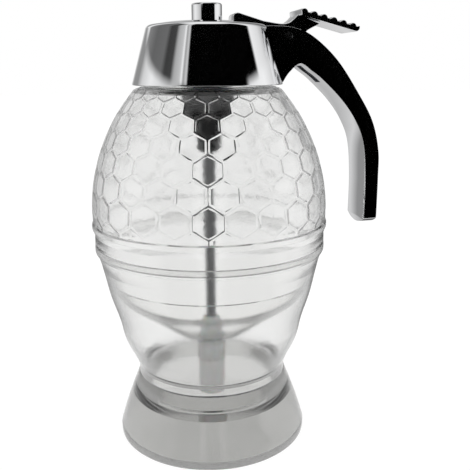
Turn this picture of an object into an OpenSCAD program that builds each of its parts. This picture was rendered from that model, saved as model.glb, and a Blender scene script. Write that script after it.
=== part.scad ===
// Honey dispenser: a clear jar on a flared stand, with a lever that lifts a valve rod.
// Frame: origin at the middle of the stand's underside, +Z up, +X towards the handle.

/* [Stand] */
// Height of the stand, up to the rim that carries the jar
stand_h = 25.6; // [22:0.1:30]
// Radius of the stand at its foot
stand_foot_r = 38.4; // [36:0.1:44]
// Radius of the stand's rim
stand_rim_r = 30.2; // [28:0.1:33]
// Wall of the stand
stand_wall = 1.7; // [1.2:0.1:2]
// Depth of the rim's collar, which guides the foot of the jar
collar_depth = 7.6; // [5:0.1:10]

/* [Jar] */
// Greatest radius of the jar, over the honeycomb
jar_r = 46.1; // [43:0.1:50]
// Wall of the clear shells
jar_wall = 2.2; // [1.6:0.1:2.6]
// Height of the egg-shaped bowl, from the stand's rim to the middle ring
bowl_h = 50.6; // [44:0.1:58]
// Height of the middle ring's lower bead
lower_bead_h = 4; // [3:0.1:6]
// Height of the middle ring's upper bead
upper_bead_h = 6.6; // [5:0.1:8]
// How far the middle ring's beads stay inside the jar's greatest radius
ring_inset = 0.9; // [0.4:0.1:3]
// Height of the honeycomb shell, from the middle ring to the neck
dome_h = 52.8; // [46:0.1:60]
// Height at which the shell is widest, above the middle ring
widest_above_ring = 4.6; // [2:0.1:8]
// Radius of the neck
neck_r = 21; // [19:0.1:22]
// Bore of the neck, as a radius
neck_bore_r = 18.6; // [16:0.1:19]
// Radius of the foot that plugs into the stand
foot_r = 28.2; // [26:0.1:30]
// Length of the foot below the stand's rim
foot_h = 7.6; // [5:0.1:9]

/* [Honeycomb] */
// Cells in each row
cells = 25; // [18:1:28]
// Full rows of cells, between the cut rows at the band and under the cap
cell_rows = 6; // [4:1:6]
// Height of the lowest full row's middle above the middle ring
first_row_up = 9.7; // [8.5:0.1:11]
// Row spacing as a share of the cell's width
row_share = 0.79; // [0.74:0.005:0.82]
// Width of the flat valley between two cells
valley_w = 1.7; // [1:0.1:2.4]
// Height of a cell's edge above the valley
cell_edge_h = 0.4; // [0.2:0.05:0.6]
// Height of a cell's middle above the valley
cell_crown_h = 0.8; // [0.5:0.05:1.2]

/* [Funnel and outlet] */
// Radius of the outlet spout
spout_r = 5.35; // [4.5:0.05:6.5]
// Bore of the outlet spout, as a radius
spout_bore_r = 3.85; // [3.2:0.05:4]
// Height of the valve seat above the ground
seat_z = 41; // [39:0.1:43]
// Height of the spout's tip above the ground
spout_tip_z = 15.2; // [12:0.1:18]
// Wall of the funnel
funnel_wall = 1.6; // [1.2:0.1:2]
// Height of the funnel's rim above the ground
funnel_rim_z = 66; // [62:0.1:70]

/* [Cap] */
// Radius of the cap at its lower edge
cap_r = 28.4; // [26:0.1:31]
// Radius of the cap at its shoulder
cap_top_r = 22.9; // [22.4:0.1:25]
// Height of the cone, from the lower edge to the shoulder
cap_h = 20; // [18:0.1:24]
// Rise of the domed top above the shoulder
dome_rise = 3; // [2.4:0.1:4]
// Wall of the cap
cap_wall = 1.8; // [1.4:0.1:2.2]
// Room for the lever, from the top of the neck to the cap's shoulder
lever_room = 11.5; // [11:0.1:13]
// Gap between the cap's lower edge and the jar
cap_gap = 0.5; // [0.3:0.1:1]
// Radius of the spring housing under the cap
boss_r = 9.5; // [9:0.1:12]
// Length of the spring housing below the liner plate
boss_h = 23; // [20:0.1:27]
// Radius of the guide bush's tube
bush_r = 5; // [4:0.1:6]
// Length of the guide bush's tube
bush_tube_h = 12; // [8:0.1:15]

/* [Valve] */
// Radius of the valve rod
rod_r = 2; // [1.6:0.05:2.4]
// Radius of the lift post on top of the rod
post_r = 5.66; // [5:0.01:6.5]
// Height of the lift post above the domed top
post_out = 6.2; // [4:0.1:9]
// Radius of the spring wire
wire_r = 0.4; // [0.35:0.05:0.6]
// Mean radius of the spring
spring_r = 5.2; // [4.4:0.1:5.8]
// Turns of the spring
spring_turns = 7; // [5:1:8]
// Running clearance of the rod in its bush, on the radius
rod_clear = 0.05; // [0.02:0.01:0.1]

/* [Handle and lever] */
// Width of the handle
handle_w = 17; // [14:0.1:20]
// Outermost reach of the grip from the middle of the jar
grip_x = 67.7; // [64:0.1:76]
// Thickness of the grip
grip_t = 5.5; // [4.5:0.1:8]
// Height of the grip's tip above the ground
grip_tip_z = 84; // [70:0.5:95]
// Sag of the grip's rounded tip across its width
tip_sag = 2.5; // [1:0.1:4]
// Width of the lever's arms
lever_w = 9; // [7:0.1:10]
// Width of the thumb pad
pad_w = 15; // [11:0.1:17]
// Length of the thumb pad
pad_l = 23.8; // [18:0.1:26]
// Slope of the thumb pad at rest, in degrees
pad_slope = 14.3; // [10:0.1:18]
// Ribs on the thumb pad
pad_ribs = 6; // [4:1:7]
// Clearance on each side of the lever
lever_clear = 0.4; // [0.3:0.05:0.6]
// Radius of the pivot pin
pin_r = 1.5; // [1.2:0.05:2]
// Lever stroke in degrees
lever_stroke = 12; // [8:0.5:12]

/* [Hidden] */
$fn = 96;

// Levels, from the ground up
ring_z = stand_h + bowl_h;              // underside of the middle ring
seam_z = ring_z + lower_bead_h;         // joint of the two clear shells
comb_z = seam_z + upper_bead_h;         // lower edge of the honeycomb
neck_z = comb_z + dome_h;               // root of the neck
widest_z = comb_z + widest_above_ring;
cap_z = neck_z + cap_gap;               // lower edge of the cap
shoulder_z = cap_z + cap_h;
top_z = shoulder_z + dome_rise;
lip_z = shoulder_z - lever_room;        // top of the neck
neck_h = lip_z - neck_z;
ring_r = jar_r - ring_inset;
gasket_t = 1.1;
gasket_play = 0.05;                     // above and below the gasket
plate_z = lip_z + gasket_t + 2 * gasket_play; // underside of the liner plate
plate_t = 2.5;
boss_z = plate_z - boss_h;

// Plain fits
seam_clear = 0.15;                      // between shells that are joined for good
foot_clear = 0.3;                       // jar foot in the stand's collar
slide_clear = 0.08;                     // lift post in the domed top
pin_clear = 0.06;                       // lever on its pin

// ---------- curves ----------

// A smooth curve through stations, each an [x, y] pair.
function spline_tangent(p, i) =
    i == 0 ? p[1] - p[0] :
    i == len(p) - 1 ? p[i] - p[i - 1] : (p[i + 1] - p[i - 1]) / 2;
function spline_point(p, i, t) =
    (2 * t ^ 3 - 3 * t ^ 2 + 1) * p[i] + (t ^ 3 - 2 * t ^ 2 + t) * spline_tangent(p, i)
    + (3 * t ^ 2 - 2 * t ^ 3) * p[i + 1] + (t ^ 3 - t ^ 2) * spline_tangent(p, i + 1);
function spline(p, steps = 6) =
    concat([for (i = [0 : len(p) - 2], k = [0 : steps - 1]) spline_point(p, i, k / steps)],
           [p[len(p) - 1]]);
function arc(c, r, a0, a1, steps = 8) =
    [for (k = [0 : steps]) c + r * [cos(a0 + (a1 - a0) * k / steps), sin(a0 + (a1 - a0) * k / steps)]];
function sum(v, i = 0) = i == len(v) ? 0 : v[i] + sum(v, i + 1);
function reversed(p) = [for (i = [len(p) - 1 : -1 : 0]) p[i]];

module revolve(outline) rotate_extrude() polygon(outline);
// A slab cut from an outline in the X-Z plane, as wide as w and centred on the handle's plane.
module slab(outline, w) translate([0, w / 2, 0]) rotate([90, 0, 0]) linear_extrude(w) polygon(outline);
// A cylinder along Y, centred on the handle's plane, at a point of the X-Z plane.
module cross_pin(at, r, w) translate([at[0], w / 2, at[1]]) rotate([90, 0, 0]) cylinder(r = r, h = w);

// ---------- stand ----------

band_h = 2.4;                           // upright band round the foot
floor_t = 2;
collar_bore_r = foot_r + foot_clear;

// Flank from the foot band to the rim, slightly hollow-backed as in the photograph.
flank = spline([[stand_foot_r, band_h],
                [stand_foot_r - 0.33 * (stand_foot_r - stand_rim_r), band_h + 0.37 * (stand_h - band_h)],
                [stand_foot_r - 0.68 * (stand_foot_r - stand_rim_r), band_h + 0.7 * (stand_h - band_h)],
                [stand_rim_r, stand_h - 0.3]]);
under_collar_z = stand_h - collar_depth;
inner_flank = [for (q = flank) if (q[1] < under_collar_z - 1) q - [stand_wall, 0]];

module stand() color([0.86, 0.87, 0.87, 0.4]) revolve(concat(
    [[0, 0], [stand_foot_r - 0.4, 0], [stand_foot_r, 0.4]],
    flank,
    [[stand_rim_r - 0.3, stand_h], [collar_bore_r + 0.3, stand_h],
     [collar_bore_r, stand_h - 0.3], [collar_bore_r, under_collar_z]],
    reversed(inner_flank),
    [[stand_foot_r - stand_wall - 2, floor_t], [0, floor_t]]));

// ---------- jar ----------

chamfer_h = 2.8;                        // slope from the ring's underside into the bowl
bowl_top_r = ring_r - 1.9;
// Outside of the bowl as shares of its height, from the neck band to the ring.
bowl_shares = [[0.09, 30.2], [0.19, 32.5], [0.275, 34.6], [0.35, 35.8], [0.43, 36.6],
               [0.51, 37.65], [0.67, 40.2], [0.83, 42]];
bowl_ref_r = 43.3;                      // radius that the shares' radii belong to
bowl_side = spline(concat([for (s = bowl_shares) [s[1] * bowl_top_r / bowl_ref_r, stand_h + s[0] * bowl_h]],
                          [[bowl_top_r, ring_z - chamfer_h]]), 5);
neck_band_r = stand_rim_r - 0.2;        // band between the stand's rim and the bowl
rabbet_r = ring_r - 1.75;               // step that takes the upper shell's tongue
rabbet_h = 2.6;
function wall_inside(z) = lookup(z, [for (q = bowl_side) [q[1], q[0] - jar_wall]]);
funnel_seat_r = wall_inside(funnel_rim_z);

module jar_bowl() color([0.88, 0.89, 0.89, 0.35]) revolve(concat(
    [[foot_r - jar_wall, stand_h - foot_h], [foot_r - 0.3, stand_h - foot_h], [foot_r, stand_h - foot_h + 0.3],
     [foot_r, stand_h], [neck_band_r, stand_h], [neck_band_r, stand_h + 0.06 * bowl_h]],
    bowl_side,
    [[ring_r - 0.5, ring_z], [ring_r, ring_z + 0.5], [ring_r, seam_z - 0.5], [ring_r - 0.5, seam_z],
     [rabbet_r, seam_z], [rabbet_r, seam_z - rabbet_h], [rabbet_r - 1.4, seam_z - rabbet_h],
     [bowl_top_r - jar_wall, ring_z - chamfer_h - 1]],
    reversed([for (q = bowl_side) if (q[1] < ring_z - chamfer_h - 1.5) q - [jar_wall, 0]]),
    [[foot_r - jar_wall, stand_h + 0.04 * bowl_h]]));

// The honeycomb shell is one closed mesh. Its vertices stand on rings of two per cell.
half_steps = 2 * cells;
half_angle = 360 / half_steps;
valley_r = jar_r - cell_crown_h;        // greatest radius in the valleys
shell_bow = 71.5;                       // radius of the shell's upright curve
shell_t = jar_wall + 0.2;
function shell_r(z) = valley_r - shell_bow + sqrt(shell_bow ^ 2 - (z - widest_z) ^ 2);
function shell_slope(z) = (z - widest_z) / sqrt(shell_bow ^ 2 - (z - widest_z) ^ 2);
function cell_w(z) = 2 * PI * shell_r(z) / cells;
function row_rise(z) = row_share * cell_w(z) * cos(atan(shell_slope(z)));
function next_row(z) = z + row_rise(z + 0.5 * row_rise(z));
function row_z(i) = i == 0 ? comb_z + first_row_up - row_rise(comb_z + first_row_up) : next_row(row_z(i - 1));
rows = cell_rows + 2;                   // the lowest and the topmost row are cut by plain lines
row_levels = [for (i = [0 : rows - 1]) row_z(i)];
comb_low_z = comb_z + 2.2;
comb_top_z = neck_z - 0.9;
// Line below row i. Its corners alternate between a third and two thirds of the way up.
function zigzag_z(i, m) = i == 0 ? comb_low_z : i == rows ? comb_top_z :
    row_levels[i - 1] + (row_levels[i] - row_levels[i - 1]) * ((m + i) % 2 == 0 ? 1 : 2) / 3;
function on_shell(m, z, lift) = [(shell_r(z) + lift) * cos(m * half_angle), (shell_r(z) + lift) * sin(m * half_angle), z];
// The six corners of the cell in row i whose middle stands at half step m.
function cell_corners(i, m) = [[m, zigzag_z(i, m)], [m + 1, zigzag_z(i, m + 1)], [m + 1, zigzag_z(i + 1, m + 1)],
                               [m, zigzag_z(i + 1, m)], [m - 1, zigzag_z(i + 1, m - 1)], [m - 1, zigzag_z(i, m - 1)]];
function cell_foot(z) = 1 - valley_w / cell_w(z);
function cell_edge(z) = cell_foot(z) - 0.08;
function cell_middle(i, j) = let (m = 2 * j + i % 2, k = cell_corners(i, m)) [m, sum([for (v = k) v[1]]) / len(k)];
function cell_points(i, j) =
    let (c = cell_middle(i, j), k = cell_corners(i, c[0]))
    concat([on_shell(c[0], c[1], cell_crown_h)],
           [for (v = k) let (q = c + (v - c) * cell_edge(c[1])) on_shell(q[0], q[1], cell_edge_h)],
           [for (v = k) let (q = c + (v - c) * cell_foot(c[1])) on_shell(q[0], q[1], 0)]);
points_per_cell = 13;

// Plain rings of the shell, from the top of the honeycomb over the neck, down the inside and up again.
band_r = jar_r - 0.15;                  // plain band between the ring and the honeycomb
inner_top_z = neck_z - 3.2;
inner_stations = [for (t = [0 : 0.125 : 1]) inner_top_z - t * (inner_top_z - comb_z)];
plain_rings = concat(
    [[shell_r(comb_top_z + 0.4), comb_top_z + 0.4], [shell_r(neck_z) - 1.4, neck_z - 0.05], [neck_r + 0.6, neck_z],
     [neck_r, neck_z + 0.6], [neck_r, lip_z - 0.4], [neck_r - 0.4, lip_z], [neck_bore_r, lip_z],
     [neck_bore_r, neck_z - shell_t]],
    [for (z = inner_stations) [shell_r(z) - shell_t, z]],
    [[rabbet_r - 1.25, seam_z - rabbet_h + seam_clear], [rabbet_r - seam_clear, seam_z - rabbet_h + seam_clear],
     [rabbet_r - seam_clear, seam_z], [ring_r - 0.6, seam_z], [ring_r - 0.1, seam_z + 0.5],
     [ring_r - 0.2, seam_z + 0.65 * upper_bead_h], [band_r - 0.3, comb_z - 0.3], [band_r, comb_z + 0.2],
     [band_r, comb_low_z - 0.5]]);

cells_start = (rows + 1) * half_steps;
rings_start = cells_start + rows * cells * points_per_cell;
function zig_index(i, m) = i * half_steps + (m + half_steps) % half_steps;
function ring_index(k, m) = rings_start + k * half_steps + (m + half_steps) % half_steps;
function cell_faces(i, j) =
    let (c = cell_middle(i, j)[0], o = cells_start + (i * cells + j) * points_per_cell,
         corner = [zig_index(i, c), zig_index(i, c + 1), zig_index(i + 1, c + 1),
                   zig_index(i + 1, c), zig_index(i + 1, c - 1), zig_index(i, c - 1)])
    [for (k = [0 : 5]) let (n = (k + 1) % 6) each [
        [o, o + 1 + n, o + 1 + k],
        [o + 1 + k, o + 1 + n, o + 7 + n], [o + 1 + k, o + 7 + n, o + 7 + k],
        [o + 7 + k, o + 7 + n, corner[n]], [o + 7 + k, corner[n], corner[k]]]];
function band(low, high) = [for (m = [0 : half_steps - 1]) each [
    [low[m], high[m + 1], low[m + 1]], [low[m], high[m], high[m + 1]]]];
function zig_line(i) = [for (m = [0 : half_steps]) zig_index(i, m)];
function ring_line(k) = [for (m = [0 : half_steps]) ring_index(k, m)];

comb_points = concat(
    [for (i = [0 : rows], m = [0 : half_steps - 1]) on_shell(m, zigzag_z(i, m), 0)],
    [for (i = [0 : rows - 1], j = [0 : cells - 1]) each cell_points(i, j)],
    [for (q = plain_rings, m = [0 : half_steps - 1])
        [q[0] * cos(m * half_angle), q[0] * sin(m * half_angle), q[1]]]);
comb_faces = concat(
    [for (i = [0 : rows - 1], j = [0 : cells - 1]) each cell_faces(i, j)],
    band(zig_line(rows), ring_line(0)),
    [for (k = [0 : len(plain_rings) - 2]) each band(ring_line(k), ring_line(k + 1))],
    band(ring_line(len(plain_rings) - 1), zig_line(0)));

comb_turn = -101.4 - half_angle;        // the odd rows have a cell facing the viewer of the photograph
module jar_upper() color([0.88, 0.89, 0.89, 0.35]) rotate([0, 0, comb_turn]) polyhedron(comb_points, comb_faces);

// ---------- funnel and outlet ----------

funnel_neck_r = spout_r + 1.7;
funnel_rise = funnel_rim_z - seat_z;
// The bed of the funnel: almost level round the seat, then a straight cone that steepens at the wall.
funnel_bed = spline([[spout_r + 0.1, seat_z - 0.3], [0.23 * funnel_seat_r, seat_z + 0.02 * funnel_rise],
                     [0.39 * funnel_seat_r, seat_z + 0.18 * funnel_rise], [0.63 * funnel_seat_r, seat_z + 0.46 * funnel_rise],
                     [0.87 * funnel_seat_r, seat_z + 0.745 * funnel_rise], [funnel_seat_r - 1.1, funnel_rim_z]]);

module funnel() color([0.9, 0.91, 0.91, 0.35]) revolve(concat(
    [[spout_r, seat_z - 11], [funnel_neck_r, seat_z - 11], [funnel_neck_r, seat_z - 3.4]],
    [for (q = funnel_bed) if (q[0] > spout_r + 3 && q[0] < 0.9 * funnel_seat_r)
        q + [funnel_wall * 0.6, -funnel_wall * 0.95]],
    [[wall_inside(funnel_rim_z - 2.4) - seam_clear, funnel_rim_z - 2.4], [funnel_seat_r - seam_clear, funnel_rim_z]],
    reversed(funnel_bed),
    [[spout_r, seat_z - 0.3]]));

module outlet_spout() color([0.95, 0.95, 0.93]) difference() {
    revolve([[0, spout_tip_z], [spout_r - 0.8, spout_tip_z], [spout_r - 0.3, spout_tip_z + 0.6],
             [spout_r, spout_tip_z + 4], [spout_r, seat_z - 0.3], [spout_r - 0.3, seat_z], [0, seat_z]]);
    translate([0, 0, spout_tip_z - 1]) cylinder(r = spout_bore_r, h = seat_z - spout_tip_z + 2);
}

// ---------- cap ----------

post_hole_r = post_r + slide_clear;
cone_run = (cap_r - cap_top_r) / cap_h;  // how far the cone draws in for each millimetre of height
function cone_r(z) = cap_r - cone_run * (z - cap_z);
shoulder_round = 2;
pivot = [29.4, shoulder_z - 2.4];       // axis of the lever, in the X-Z plane
pocket_z = pivot[1] - 5.3;              // floor of the lever's pocket
slot_start = 8;                         // front end of the slot in the domed top
pocket_end = pivot[0] + 10.4;           // back of the lever's pocket
slot_w = lever_w + 2 * lever_clear;
// Outside of the cap: cone, rounded shoulder, low dome.
cap_outside = concat([[cap_r, cap_z + 0.4]],
    arc([cap_top_r - shoulder_round, shoulder_z - 0.5], shoulder_round, 15, 78, 6),
    spline([[cap_top_r - shoulder_round - 1.2, shoulder_z + 1.7], [14, top_z - 0.5], [4, top_z]], 5),
    [[0, top_z]]);
ceiling_z = top_z - cap_wall;
screw_ring_r = 14;
screw_angles = [60, 180, 300];
fixing_r = 1.1;
fixing_boss_r = 2.4;
fixing = [20, 6.9, plate_z + plate_t + fixing_boss_r + 0.1]; // seat of a handle screw inside the cap
seat_play = 0.02;                       // between the cap's cone and the handle's root

module cap_screw_places() for (a = screw_angles) rotate([0, 0, a]) translate([screw_ring_r, 0, 0]) children();
module handle_screw_places() for (s = [-1, 1]) translate([fixing[0], s * fixing[1], fixing[2]])
    rotate([0, 90, 0]) children();

module lever_slot() translate([slot_start, -slot_w / 2, pocket_z]) cube([pocket_end - slot_start, slot_w, 20]);

module cap_shell() color([0.8, 0.8, 0.82]) difference() {
    union() {
        revolve(concat([[cap_r - cap_wall, cap_z], [cap_r - 0.3, cap_z]],
                       cap_outside,
                       [[0, ceiling_z], [10, ceiling_z - 0.3],
                        [cap_top_r - shoulder_round - 1, shoulder_z - 0.2],
                        [cone_r(shoulder_z - 2) - cap_wall, shoulder_z - 2]]));
        cap_screw_places() translate([0, 0, plate_z + plate_t]) cylinder(r = 3.2, h = ceiling_z - plate_z - plate_t, $fn = 48);
        intersection() {
            handle_screw_places() cylinder(r = fixing_boss_r, h = 5, $fn = 48);
            revolve(concat([[0, cap_z], [cap_r, cap_z]], cap_outside));
        }
    }
    cap_screw_places() translate([0, 0, plate_z]) cylinder(r = 1.25, h = 8.5, $fn = 48);
    handle_screw_places() translate([0, 0, -1]) cylinder(r = fixing_r, h = 8, $fn = 48);
    translate([0, 0, ceiling_z - 3]) cylinder(r = post_hole_r, h = 8);
    lever_slot();
}

// Inside the cap: plate, skirt round the neck, and the spring housing.
skirt_bore_r = neck_r + 1.4;
skirt_r = skirt_bore_r + 1.4;
skirt_h = neck_h - 2.6;                 // ends above the root of the neck
housing_r = boss_r - 2;                 // bore of the spring housing
plate_r = cone_r(plate_z + plate_t) - cap_wall - 0.15;
rod_hole_r = rod_r + 0.6;
grip_ribs = 10;

module cap_liner() color([0.12, 0.12, 0.13]) difference() {
    union() {
        revolve([[0, boss_z], [boss_r - 0.5, boss_z], [boss_r, boss_z + 0.5], [boss_r, plate_z], [skirt_bore_r, plate_z],
                 [skirt_bore_r, plate_z - skirt_h], [skirt_r, plate_z - skirt_h], [skirt_r, plate_z],
                 [plate_r, plate_z], [plate_r, plate_z + plate_t], [0, plate_z + plate_t]]);
        for (k = [0 : grip_ribs - 1]) rotate([0, 0, (k + 0.5) * 360 / grip_ribs])
            translate([skirt_r - 0.4, -0.6, plate_z - skirt_h]) cube([0.4 + plate_r - skirt_r - 0.1, 1.2, skirt_h]);
    }
    translate([0, 0, boss_z - 1]) cylinder(r = housing_r, h = boss_h);
    translate([0, 0, boss_z]) cylinder(r = rod_hole_r, h = boss_h + plate_t + 1);
    cap_screw_places() translate([0, 0, plate_z - 1]) cylinder(r = 1.5, h = plate_t + 2, $fn = 48);
    rotate([0, 0, 120]) translate([screw_ring_r, 0, plate_z - 1]) cylinder(r = 0.8, h = plate_t + 2, $fn = 32);
}

module liner_screws() color([0.6, 0.6, 0.62]) cap_screw_places() {
    translate([0, 0, plate_z]) cylinder(r = 1.25, h = plate_t + 5.5, $fn = 48);
    difference() {
        translate([0, 0, plate_z - 1.5]) cylinder(r = 2.4, h = 1.5, $fn = 48);
        for (a = [0, 90]) rotate([0, 0, a]) translate([-1.4, -0.3, plate_z - 1.6]) cube([2.8, 0.6, 0.9]);
    }
}

bush_flange_t = 2.4;
seal_section_r = 0.85;
seal_mid_r = rod_r + rod_clear + seal_section_r;
seal_z = boss_z - bush_tube_h + 2.6;

module guide_bush() color([0.25, 0.25, 0.27]) difference() {
    revolve([[0, boss_z - bush_tube_h], [bush_r - 0.8, boss_z - bush_tube_h], [bush_r, boss_z - bush_tube_h + 0.8],
             [bush_r, boss_z], [housing_r, boss_z], [housing_r, boss_z + bush_flange_t], [0, boss_z + bush_flange_t]]);
    translate([0, 0, boss_z - bush_tube_h - 1]) cylinder(r = rod_r + rod_clear, h = bush_tube_h + bush_flange_t + 2);
    translate([0, 0, seal_z - seal_section_r]) cylinder(r = seal_mid_r + seal_section_r, h = 2 * seal_section_r);
}

module rod_seal() color([0.08, 0.08, 0.08]) rotate_extrude()
    translate([seal_mid_r, seal_z]) circle(r = seal_section_r, $fn = 32);

washer_t = 0.8;
washer_z = plate_z - 1.2 - washer_t;    // underside of the fixed spring washer

module spring_washer() color([0.7, 0.7, 0.72]) difference() {
    translate([0, 0, washer_z]) cylinder(r = housing_r - 0.2, h = washer_t);
    translate([0, 0, washer_z - 1]) cylinder(r = rod_hole_r, h = washer_t + 2);
}

module neck_gasket() color([0.85, 0.85, 0.83]) difference() {
    translate([0, 0, lip_z + gasket_play]) cylinder(r = skirt_bore_r - 0.3, h = gasket_t);
    translate([0, 0, lip_z]) cylinder(r = neck_bore_r, h = gasket_t + 1);
}

// ---------- handle ----------

grip_in = grip_x - grip_t;
handle_back = spline([[cap_top_r - 3.4, top_z - 1.9], [30, top_z - 2.3], [38.4, top_z - 5.3], [48.6, top_z - 14],
                      [57.8, top_z - 26.6], [64.2, top_z - 37.5], [grip_x - 0.4, top_z - 49], [grip_x, top_z - 60],
                      [grip_x, grip_tip_z]], 6);
handle_belly = spline([[cap_r - 1.7, cap_z + 0.2], [29.6, cap_z + 4.4], [33.9, cap_z + 7.6],
                       [38.5, cap_z + 4.9], [43.2, cap_z + 1.4], [51.1, cap_z - 6.2], [57, cap_z - 14.2],
                       [60.8, cap_z - 23.5], [grip_in, cap_z - 38], [grip_in, grip_tip_z]], 6);
tip_round_r = ((handle_w / 2) ^ 2 + tip_sag ^ 2) / (2 * tip_sag);
core_slot = [[39.5, cap_z + 3.2], 10.4, 5.6]; // middle, length and width of the slot in the inner face
core_slot_slope = 39;

module handle() color([0.8, 0.8, 0.82]) difference() {
    intersection() {
        slab(concat(handle_back, reversed(handle_belly)), handle_w);
        union() {
            translate([0, 0, grip_tip_z + tip_round_r]) rotate([0, 90, 0]) cylinder(r = tip_round_r, h = grip_x + 10);
            translate([0, -handle_w, grip_tip_z + tip_sag + 4]) cube([grip_x + 10, 2 * handle_w, top_z]);
        }
    }
    // the outside of the cap, which the root of the handle seats on
    revolve(concat([[0, cap_z - 5], [cap_r + seat_play, cap_z - 5]], [for (q = cap_outside) q + [seat_play, 0]]));
    lever_slot();
    cross_pin(pivot, pin_r, handle_w + 2);
    handle_screw_places() cylinder(r = fixing_r, h = 12, $fn = 48);
    translate([core_slot[0][0], 0, core_slot[0][1]]) rotate([0, core_slot_slope, 0])
        translate([-core_slot[1] / 2, -core_slot[2] / 2, -6]) cube([core_slot[1], core_slot[2], 11]);
}

module handle_screws() color([0.6, 0.6, 0.62]) handle_screw_places() {
    cylinder(r = fixing_r, h = 11.5, $fn = 48);
    difference() {
        translate([0, 0, -1.4]) cylinder(r = 2, h = 1.4, $fn = 48);
        for (a = [0, 90]) rotate([0, 0, a]) translate([-1.2, -0.25, -1.5]) cube([2.4, 0.5, 0.8]);
    }
}

module pivot_pin() color([0.75, 0.75, 0.77]) cross_pin(pivot, pin_r, handle_w - 0.2);

// ---------- lever ----------

fork_arm = pivot[0] + 0.5;              // reach of the fork's nose in front of the pivot
nose_r = 1.5;
nose_gap = 0.3;                         // between the fork and the lift post at rest
post_z = plate_z + plate_t + 2 * nose_r + nose_gap + 0.4; // underside of the lift post
nose = [pivot[0] - fork_arm, post_z - nose_gap - nose_r];
hub_r = 4.2;
pad_start = [pivot[0] + 4.9, pivot[1] + 7.3];
pad_t = 1.9;
pad_end_r = 1.5;
rib_r = 1.5;

// Side view of the lever's arms: fork, front arm over the cap, valley, stem.
arm_outline = concat(
    arc(nose, nose_r, 90, 270, 8),
    [[pivot[0] - 9, pocket_z + 0.9]],
    arc(pivot, hub_r, 250, 300, 6),
    [[pivot[0] + 8.6, pivot[1] + 2.2], [pivot[0] + 10.3, pivot[1] + 3.1], [pivot[0] + 13.6, pivot[1] + 4.6]],
    [[pivot[0] + 4.5, pivot[1] + 7.9]],
    spline([[pivot[0] + 2.8, pivot[1] + 6.2], [pivot[0] + 0.7, pivot[1] + 4.9], [pivot[0] - 2.4, pivot[1] + 4.6],
            [pivot[0] - 8.8, pivot[1] + 5.5]], 5),
    arc([pivot[0] - 18.6, pivot[1] + 6.6], 1.7, 75, 165, 6),
    [[pivot[0] - 20.3, post_z - nose_gap - 1.2]]);

function on_pad(s, h) = pad_start + s * [cos(pad_slope), -sin(pad_slope)] + h * [sin(pad_slope), cos(pad_slope)];
rib_first = 0.85;
rib_pitch = (pad_l - 2.9 - rib_first) / (pad_ribs - 1);
rib_sink = 0.55;                        // how far a rib's centre lies below the pad's top
pad_outline = concat([on_pad(0, 0)], [on_pad(0, pad_t)],
    [on_pad(pad_l - pad_end_r, pad_t)],
    arc(on_pad(pad_l - pad_end_r, pad_end_r), pad_end_r, 60 - pad_slope, -90 - pad_slope, 6));

module trigger_lever() color([0.78, 0.78, 0.8]) difference() {
    union() {
        slab(arm_outline, lever_w);
        slab(pad_outline, pad_w);
        for (k = [0 : pad_ribs - 1]) cross_pin(on_pad(rib_first + k * rib_pitch, pad_t - rib_sink), rib_r, pad_w, $fn = 32);
    }
    // fork round the rod
    translate([nose[0] - nose_r - 1, -(rod_r + lever_clear), post_z - 5])
        cube([9, 2 * (rod_r + lever_clear), 6]);
    cross_pin(pivot, pin_r + pin_clear, lever_w + 2);
}

// ---------- valve rod ----------

stub_r = 0.75 * rod_r;                  // threaded end of the rod, inside the lift post
post_top_z = top_z + post_out;
stub_l = 8;
collar_z = boss_z + bush_flange_t + 1.1; // underside of the moving spring seat
collar_t = 1.4;
clip_t = 0.6;
stem_r = 1.72 * rod_r;
stopper_top_z = seat_z + 5.7;
rod_foot_z = seat_z - 1.5;

module lift_post() color([0.8, 0.8, 0.82]) difference() {
    revolve(concat([[0, post_z], [post_r - 0.3, post_z], [post_r, post_z + 0.3]],
                   arc([post_r - 0.7, post_top_z - 0.7], 0.7, 0, 90, 5), [[0, post_top_z]]));
    translate([0, 0, post_z - 1]) cylinder(r = rod_r, h = 2.5);
    translate([0, 0, post_z]) cylinder(r = stub_r, h = stub_l + 0.6);
}

module valve_rod() color([0.55, 0.56, 0.57]) difference() {
    union() {
        translate([0, 0, rod_foot_z]) cylinder(r = rod_r, h = post_z + 1.5 - rod_foot_z);
        translate([0, 0, post_z]) cylinder(r = stub_r, h = stub_l);
    }
    translate([0, 0, collar_z - clip_t]) difference() {
        cylinder(r = rod_r + 1, h = clip_t);
        translate([0, 0, -1]) cylinder(r = rod_r - 0.4, h = clip_t + 2);
    }
}

module spring_collar() color([0.7, 0.7, 0.72]) difference() {
    translate([0, 0, collar_z]) cylinder(r = housing_r - 0.6, h = collar_t);
    translate([0, 0, collar_z - 1]) cylinder(r = rod_r, h = collar_t + 2);
}

module collar_clip() color([0.3, 0.3, 0.32]) translate([0, 0, collar_z - clip_t]) difference() {
    cylinder(r = rod_r + 1.7, h = clip_t);
    translate([0, 0, -1]) cylinder(r = rod_r - 0.4, h = clip_t + 2);
    translate([0, -(rod_r - 0.6), -1]) cube([rod_r + 3, 2 * (rod_r - 0.6), clip_t + 2]);
}

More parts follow.
